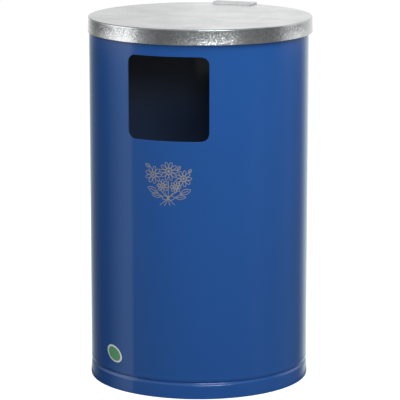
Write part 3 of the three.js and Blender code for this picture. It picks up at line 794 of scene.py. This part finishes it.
def makeHinge():
    h = hinge
    halfLeaf, lap, length = h["leaf"] / 2, h["overlap"], h["knuckleLength"]

    def upright(width, foot, top, x, y):  # a flat plate from foot to top
        return boxMesh((width, h["leaf"], top - foot), (x, y, (top + foot) / 2))

    lidLeaf = [strapMesh(), upright(length, h["axisZ"], h["strapEnd"] + lap, 0, h["axisY"]), knuckleMesh(0)]
    plateY = h["plateFace"] - halfLeaf
    casingLeaf = [upright(h["width"], h["plateTop"] - h["plateHeight"], h["plateTop"], 0, plateY)]
    for x in (-length - h["knuckleGap"], length + h["knuckleGap"]):
        casingLeaf += [upright(length, h["plateTop"] - lap, h["axisZ"], x, plateY), knuckleMesh(x)]
    for name, parts, body, node in (("hingeLidLeaf", lidLeaf, "lid", "hinge_lid_leaf"),
                                    ("hingeCasingLeaf", casingLeaf, "housing", "hinge_body_leaf")):
        pieces = [bevelled(meshPiece(name + "Part", *part, hingeZinc), h["edge"]) for part in parts]
        place(inHingeFrame(joinPieces(name, pieces)), body, "galvanised_zinc", node)

    half = h["width"] / 2 + h["pinHeadGap"]
    head, end, r = h["pinHead"], half + h["pinHeadHeight"], h["pinHeadEdge"]
    profile = [(0, end)] + arc((head - r, end - r), r, 90, 0, 4) + [(head, half), (h["pin"], half)]
    pin = meshPiece("hingePin", *pinwise(profile + [(x, -z) for x, z in reversed(profile)]), steel)
    place(inHingeFrame(pin), "housing", "plated_steel", "hinge_pin")


makeHinge()
print("hinge made")


# Rivets: one tree makes a domed rivet at each point, facing the way that the point's attribute says

def rivetTree():
    tree, add, enter = newTree("domed rivets", "headRadius", "headHeight", "shankRadius", "grip",
                               "footRadius", "footHeight", "sides")

    def drum(radius, height, centre, rings=1):
        made = add("GeometryNodeMeshCylinder", {
            "Vertices": enter["sides"], "Fill Segments": rings, "Radius": radius, "Depth": height})
        lift = add("CombineXYZ", {2: centre})
        return add("GeometryNodeTransform", {"Geometry": made.outputs["Mesh"], "Translation": lift})

    axes = add("SeparateXYZ", [add("GeometryNodeInputPosition")]).outputs
    seated = add("CombineXYZ", [axes[0], axes[1]])
    reach = add("VectorMath", [seated], operation="LENGTH")
    known = {**enter, "reach": reach}
    for name, operation, *values in (
            ("share", "DIVIDE", "reach", "headRadius"), ("drop", "POWER", "share", 2),
            ("left", "SUBTRACT", 1, "drop"), ("rise", "MULTIPLY", "left", "headHeight"),
            ("shankCentre", "MULTIPLY", "grip", -0.5), ("halfFoot", "MULTIPLY", "footHeight", -0.5),
            ("footCentre", "SUBTRACT", "halfFoot", "grip")):
        inputs = [known.get(value, value) for value in values]
        known[name] = add("Math", inputs, operation=operation, use_clamp=name == "share")

    # The head starts as a flat disc of rings, which bend down towards its edge
    head = drum(enter["headRadius"], enter["headHeight"], 0, 8)
    domed = add("CombineXYZ", [axes[0], axes[1], known["rise"]])
    for side, goal in (("GREATER_THAN", domed), ("LESS_THAN", seated)):
        chosen = add("FunctionNodeCompare", [axes[2], 0.0], data_type="FLOAT", operation=side)
        head = add("GeometryNodeSetPosition", {"Geometry": head, "Selection": chosen, "Position": goal})
    shank = drum(enter["shankRadius"], enter["grip"], known["shankCentre"])
    foot = drum(enter["footRadius"], enter["footHeight"], known["footCentre"])
    rivet = add("GeometryNodeJoinGeometry", {0: [head, shank, foot]})
    facing = add("GeometryNodeInputNamedAttribute", {"Name": "facing"}, data_type="FLOAT_VECTOR")
    turned = add("FunctionNodeAlignRotationToVector", {"Vector": facing}, axis="Z")
    dots = add("GeometryNodeMeshToPoints", {"Mesh": enter["geometry"]})
    placed = add("GeometryNodeInstanceOnPoints", {"Points": dots, "Instance": rivet, "Rotation": turned})
    endTree(add, enter, placed)
    return tree


domedRivets = rivetTree()


def makeRivets(name, sizes, places, material=steel):  # places are pairs of a point and the head's way
    mesh = newMesh(name, [point for point, _ in places])
    for spot, (_, way) in zip(mesh.attributes.new("facing", "FLOAT_VECTOR", "POINT").data, places):
        spot.vector = way
    return runTree(name, mesh, domedRivets, {**sizes, "sides": 32, "material": material}, 40)


lidRivets = millimetres(
    headRadius=2.6, headHeight=0.15, shankRadius=2.4, grip=4.45, footRadius=4.5, footHeight=1.4,
    across=27.9, back=165.3, up=603.15)
places = [((x, lidRivets["back"], lidRivets["up"]), (0, 0, 1))
          for x in (-lidRivets["across"], lidRivets["across"])]
piece = makeRivets("lidLeafRivets", lidRivets, places, hingeZinc)
place(inHingeFrame(piece), "lid", "plated_steel", "lid_leaf_rivet_1", "lid_leaf_rivet_2")

casingRivets = millimetres(
    headRadius=4.5, headHeight=2.2, shankRadius=1.6, grip=11.4, footRadius=4.5, footHeight=1.4,
    across=22, back=186.1, upper=552.9, lower=526.9)
places = [((x, casingRivets["back"], casingRivets[row]), (0, 1, 0))
          for x in (-casingRivets["across"], casingRivets["across"]) for row in ("upper", "lower")]
piece = makeRivets("casingLeafRivets", casingRivets, places)
place(inHingeFrame(piece), "housing", "plated_steel", *[f"body_leaf_rivet_{i}" for i in (1, 2, 3, 4)])
print("rivets set")


# Inner container

liner = {
    **millimetres(
        radius=162, sheet=0.8, foot=20.8, top=355, wire=2, gap=0.3, pivot=335.5, pivotHole=2.9,
        earWidth=32, earHeight=29, earTop=346.5, earSheet=1.6, earCorner=6, earEdge=0.3),
    "sides": 200, "curl": 280,  # degrees
}
earRivets = millimetres(
    headRadius=3.4, headHeight=1.5, shankRadius=1.5, grip=3.6, footRadius=3.4, footHeight=1,
    across=9, up=6.5)  # up from the ear's foot


def makeLinerBody():
    w = liner
    bore, inside = w["radius"] - w["sheet"], w["wire"] + w["gap"]
    outside = inside + w["sheet"]
    centre = (bore + outside, w["top"] - outside)
    heights = between(w["foot"], centre[1] - 2 * mm, 8)
    profile = [(bore, z) for z in heights] + arc(centre, outside, 180, 180 - w["curl"], 28)
    profile += arc(centre, inside, 180 - w["curl"], 180, 28) + [(w["radius"], z) for z in reversed(heights)]
    piece = meshPiece("linerBody", *turnedMesh(profile, w["sides"]), sheetZinc)
    place(piece, "liner", "galvanised_zinc", "liner_body")


def earMesh(side):  # a bent plate round the bail's hole, in rings from the hole to its rounded outline
    w = liner
    half, high, corner = w["earWidth"] / 2, w["earHeight"] / 2, w["earCorner"]
    middle = w["earTop"] - high
    outline = []
    for quarter, (x, z) in enumerate([(1, 1), (-1, 1), (-1, -1), (1, -1)]):
        centre = (x * (half - corner), z * (high - corner))
        outline += arc(centre, corner, 90 * quarter, 90 * quarter + 90, 9)
    hole = w["pivot"] - middle
    rim = []
    for x, z in outline:
        across, up = onCircle(w["pivotHole"], math.atan2(z - hole, x))
        rim.append((across, hole + up))
    inner = w["radius"] + w["gap"]
    points, rings, start = [], [], 0 if side > 0 else math.pi
    for radius, shares in ((inner, between(0, 1, 8)), (inner + w["earSheet"], between(1, 0, 8))):
        for share in shares:
            ring = [blend(a, b, share) for a, b in zip(rim, outline)]
            ring = [(*onCircle(radius, start + x / radius), middle + up) for x, up in ring]
            rings.append(addRing(points, ring))
    return points, ringFaces(rings, True)


def wireTree():  # a round wire along the object's own line
    tree, add, enter = newTree("bent wire", "wireRadius", "sides")
    line = add("GeometryNodeMeshToCurve", {"Mesh": enter["geometry"]})
    ring = add("GeometryNodeCurvePrimitiveCircle", {
        "Resolution": enter["sides"], "Radius": enter["wireRadius"]})
    wire = add("GeometryNodeCurveToMesh", {"Curve": line, "Profile Curve": ring, "Fill Caps": True})
    endTree(add, enter, wire)
    return tree


bentWire = wireTree()


def lineEdges(first, count, closed):  # along a line of points, back to its start if it is closed
    ends = [(first + count - 1, first)] if closed else []
    return [(first + i, first + i + 1) for i in range(count - 1)] + ends


def makeWire(name, path, radius, closed=False):
    mesh = newMesh(name, path, lineEdges(0, len(path), closed))
    return runTree(name, mesh, bentWire, {"wireRadius": radius, "sides": 20, "material": steel}, 50)


def makeLiner():
    w, r = liner, earRivets
    makeLinerBody()
    for side, word in ((-1, "left"), (1, "right")):
        ear = bevelled(meshPiece(f"linerEar_{word}", *earMesh(side), sheetZinc), w["earEdge"])
        place(ear, "liner", "galvanised_zinc", f"liner_ear_{word}")

    earRadius = w["radius"] + w["gap"] + w["earSheet"]
    reach = math.sqrt(earRadius ** 2 - (r["across"] - r["headRadius"]) ** 2) + w["gap"]
    height = w["earTop"] - w["earHeight"] + r["up"]
    places = [((side * reach, y, height), (side, 0, 0))
              for side in (-1, 1) for y in (-r["across"], r["across"])]
    names = [f"liner_ear_rivet_{word}_{i}" for word in ("left", "right") for i in (1, 2)]
    place(makeRivets("linerEarRivets", r, places), "liner", "plated_steel", *names)


def makeRimWire():
    w = liner
    curl = w["wire"] + w["gap"] + w["sheet"]
    middle = w["radius"] - w["sheet"] + curl
    path = [(*onCircle(middle, math.radians(a)), w["top"] - curl) for a in range(0, 360, 2)]
    place(makeWire("linerRimWire", path, w["wire"], True), "liner", "plated_steel", "liner_rim_wire")


bail = {
    **millimetres(
        radius=171, wire=2.5, bendRadius=6, headRadius=4, headHeight=1.6, headInside=160.6, headEdge=0.4),
    "droop": 15.476, "steps": 96,
}


def bailPath():  # from inside one ear, round the front and into the other ear
    b = bail
    bend = b["bendRadius"] / b["radius"]
    bow = [onCircle(b["radius"], -a) + (0,) for a in between(bend, math.pi - bend, b["steps"])]
    corner, start, end = (b["radius"], 0, 0), (b["radius"] - b["bendRadius"], 0, 0), bow[0]
    elbow = [blend(blend(start, corner, t), blend(corner, end, t), t) for t in between(0, 1, 10)]
    stub = [(x, 0, 0) for x in between(b["headInside"] - b["headHeight"] / 2, start[0], 3)][:-1]
    return stub + elbow + bow[1:-1] + [(-x, y, z) for x, y, z in reversed(stub + elbow)]


def makeBail():
    b = bail
    r, high, soft = b["headRadius"], b["headHeight"], b["headEdge"]
    parts = [makeWire("bailWire", bailPath(), b["wire"])]
    profile = [(0, 0)] + arc((r - soft, soft), soft, -90, 0, 3)
    profile += arc((r - soft, high - soft), soft, 0, 90, 3) + [(0, high)]
    for side in (-1, 1):
        points, faces = turnedMesh(profile, 24)
        points = [(side * (b["headInside"] - high + z), x, y) for x, y, z in points]
        parts.append(meshPiece(f"bailHead{side}", points, faces, steel))
    piece = joinPieces("linerBail", parts)
    droop = Matrix.Rotation(math.radians(b["droop"]), 4, "X")
    piece.data.transform(Matrix.Translation((0, 0, liner["pivot"])) @ droop)
    smoothMesh(piece.data, 50)
    place(piece, "bail", "plated_steel", "liner_bail")


makeLiner()
makeBail()
makeRimWire()
print("inner container made")


# Print below the opening: a tied bunch of round flowers in thin lines, laid on the casing

flowerPrint = {
    "line": 0.9, "centre": 353, "thickness": 0.1, "angle": 0.6,  # mm, and degrees from the opening's middle
    "flowers": [(-24, 13, 4.0, 13.5, 9), (2, 20, 4.6, 14.5, 10), (26, 9, 4.0, 12.5, 9), (-8, -4, 3.2, 9.5, 8),
                (13, -5, 3.0, 8.5, 8)],  # middle x and y, the eye's radius, the petals' reach, their number
    "petalWidth": 0.8, "gap": 0.6, "knot": (1, -23), "tie": 1.1, "bowWidth": 9.9, "bowHeight": 3.4,
    "ends": [(-13, -35), (-5, -36), (4, -35.5), (12, -34)],
    "leaves": [((-34, -7), (-16, -16), 4.2), ((-27, -19), (-9, -21), 3.4), ((38, -9), (20, -16), 4.2),
               ((30, -21), (12, -22), 3.4), ((-38, 30), (-29, 25), 2.4), ((21, 29), (16, 22), 2.4),
               ((39, 24), (34, 19), 2.2)],  # tip, foot, half width
}


def printLines():  # lines in mm, each with its half width and whether it is closed
    design = flowerPrint
    thin, gap, knot = design["line"] / 2, design["gap"], design["knot"]
    lines = []

    def draw(points, closed=False, half=thin):
        lines.append((points, half, closed))

    def sweep(start, end, steps=10, powerX=1, powerY=1, first=0):  # over 1: slow at first
        return [(start[0] + (end[0] - start[0]) * t ** powerX, start[1] + (end[1] - start[1]) * t ** powerY)
                for t in between(first, 1, steps)]

    for x, y, eye, reach, petals in design["flowers"]:
        draw(arc((x, y), eye, 0, 360, 24)[:-1], True)
        draw(arc((x, y), eye / 4, 0, 360, 16)[:-1], True, eye / 4)
        middle, long = (eye + reach) / 2 + gap, (reach - eye) / 2
        wide = middle * math.sin(math.pi / petals) * design["petalWidth"]
        petal = [(middle + long * math.cos(t), wide * math.sin(t)) for t in between(0, 2 * math.pi, 18)[:-1]]
        for i in range(petals):
            c, s = onCircle(1, 2 * math.pi * i / petals)
            draw([(x + u * c - v * s, y + u * s + v * c) for u, v in petal], True)
        top = x + (knot[0] - x) * reach / math.dist((x, y), knot)
        draw(sweep((top, y - reach - gap), knot, powerX=1.6))
    for end in design["ends"]:
        draw(sweep(knot, end, 6, powerY=0.8))
    for side in (-1, 1):
        draw([(knot[0] + side * design["bowWidth"] * math.sin(t) ** 2,
               knot[1] + design["bowHeight"] * math.sin(2 * t)) for t in between(0, math.pi, 20)[:-1]], True)
    draw(arc(knot, design["tie"], 0, 360, 12)[:-1], True, design["tie"])
    for tip, foot, half in design["leaves"]:
        scale = half / math.dist(tip, foot)
        outX, outY = (tip[1] - foot[1]) * scale, (foot[0] - tip[0]) * scale
        middle, bulge = sweep(tip, foot), [math.sin(math.pi * t) for t in between(0, 1, 10)]
        sides = [[(x + side * outX * b, y + side * outY * b) for b, (x, y) in zip(bulge, middle)]
                 for side in (1, -1)]
        draw(sides[0] + sides[1][-2:0:-1], True)
        draw(sweep(tip, foot, 5, first=0.25))
    return lines


def printTree():  # flat bars along the lines, then laid round the drum
    tree, add, enter = newTree("lines on drum", "drumRadius", "thickness", "turn", "centreHeight")
    line = add("GeometryNodeMeshToCurve", {"Mesh": enter["geometry"]})
    upright = add("GeometryNodeSetCurveNormal", {"Curve": line}, mode="Z_UP")
    width = add("GeometryNodeInputNamedAttribute", {"Name": "halfWidth"}, data_type="FLOAT")
    bar = add("GeometryNodeCurvePrimitiveQuadrilateral", {"Width": 2.0, "Height": enter["thickness"]})
    ribbon = add("GeometryNodeCurveToMesh", {
        "Curve": upright, "Profile Curve": bar, "Scale": width, "Fill Caps": True})
    spot = add("SeparateXYZ", [add("GeometryNodeInputPosition")]).outputs
    upper = add("FunctionNodeCompare", [spot[2], 0.0], data_type="FLOAT", operation="GREATER_THAN")
    known = {**enter, "x": spot[0], "y": spot[1], "upper": upper}
    for name, operation, *values in (
            ("straight", "DIVIDE", "x", "drumRadius"), ("angle", "ADD", "straight", "turn"),
            ("height", "ADD", "y", "centreHeight"), ("lift", "MULTIPLY", "upper", "thickness"),
            ("radius", "ADD", "drumRadius", "lift")):
        inputs = [known[value] for value in values]
        known[name] = add("Math", inputs, operation=operation)
    endTree(add, enter, layRound(add, ribbon, known["angle"], known["radius"], known["height"]))
    return tree


def makePrint():
    points, edges, widths = [], [], []
    for line, half, closed in printLines():
        edges += lineEdges(len(points), len(line), closed)
        points += [(x * mm, y * mm, 0) for x, y in line]
        widths += [half * mm] * len(line)
    mesh = newMesh("flowerPrint", points, edges)
    mesh.attributes.new("halfWidth", "FLOAT", "POINT").data.foreach_set("value", widths)
    piece = runTree("flowerPrint", mesh, printTree(), {
        "drumRadius": casing["radius"], "thickness": flowerPrint["thickness"] * mm,
        "turn": math.radians(flowerPrint["angle"]), "centreHeight": flowerPrint["centre"] * mm,
        "material": ink})
    place(piece, "housing", "printed_film")


makePrint()
print("print laid on")


# Oval sticker low on the casing

sticker = {
    **millimetres(width=39, height=26, centre=59, gap=0.05, thickness=0.25),
    "angle": -33.5, "tilt": -20, "rings": 8, "sides": 72,
}


def makeSticker():
    s = sticker
    foot, thick = casing["radius"] + s["gap"], s["thickness"]
    levels = [(share, foot + thick) for share in between(0, 0.97, s["rings"])]
    levels += [(0.99, foot + 0.8 * thick), (1, foot + 0.5 * thick), (1, foot), (0, foot)]  # the softened edge
    lean = Matrix.Rotation(math.radians(s["tilt"]), 2)
    points, spots, rings = [], [], []
    for share, radius in levels:
        ring = []
        for i in range(s["sides"] if share else 1):
            u, v = onCircle(share, 2 * math.pi * i / s["sides"])
            leaned = lean @ Vector((u * s["width"] / 2, v * s["height"] / 2))
            angle = math.radians(s["angle"]) + leaned.x / casing["radius"]
            ring.append((radius * math.sin(angle), -radius * math.cos(angle), s["centre"] + leaned.y))
            spots.append((0.5 + u / 2, 0.5 + v / 2))
        rings.append(addRing(points, ring))
    mesh = newMesh("ovalSticker", points, [], ringFaces(rings), film)
    layer = mesh.uv_layers.new(name="oval")
    for loop in mesh.loops:
        layer.data[loop.index].uv = spots[loop.vertex_index]
    closeMesh(mesh)
    smoothMesh(mesh, 60)
    place(newObject("ovalSticker", mesh), "housing", "printed_film", "oval_sticker")


makeSticker()
print("sticker laid on")
